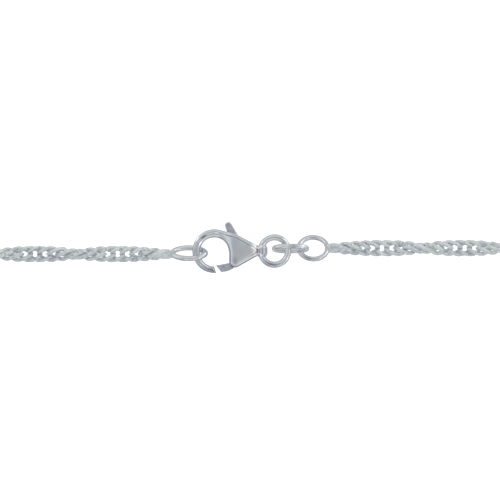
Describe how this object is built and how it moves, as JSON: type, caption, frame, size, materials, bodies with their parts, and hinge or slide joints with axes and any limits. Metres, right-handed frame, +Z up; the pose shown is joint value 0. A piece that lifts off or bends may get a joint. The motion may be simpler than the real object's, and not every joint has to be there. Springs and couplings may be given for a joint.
{
  "type": "singapore chain necklace",
  "caption": "Twisted curb chain necklace, closed and lying flat, with a trigger clasp whose sprung lever opens its gate, and soldered and loose end rings.",
  "frame": {"origin": "centre of the neck opening, on the surface that the necklace lies on", "axes": "+Z up from the surface, +X along the clasp from hook to tail, +Y from the front of the chain to the clasp"},
  "size_m": [0.1714, 0.1022, 0.0031],
  "materials": {
    "chain_silver": "diamond-cut and polished silver",
    "ring_silver": "polished silver wire",
    "clasp_silver": "polished cast silver",
    "lever_silver": "as-cast, lightly tumbled silver"
  },
  "bodies": {
    "necklace": {"chain_left": "chain_silver", "chain_right": "chain_silver", "clasp_body": "clasp_silver", "clasp_pin": "clasp_silver", "jump_ring": "ring_silver", "connector_ring": "ring_silver"},
    "lever": {"clasp_lever": "lever_silver"}
  },
  "joints": [
    {"name": "lever_pivot", "type": "hinge", "parent": "necklace", "child": "lever", "pos_m": [-0.0012, 0.04789, 0.00156], "axis": [0, 0, -1], "range_deg": [0, 36], "stiffness_Nm_per_rad": 0.0015, "springref_deg": -22.92}
  ]
}
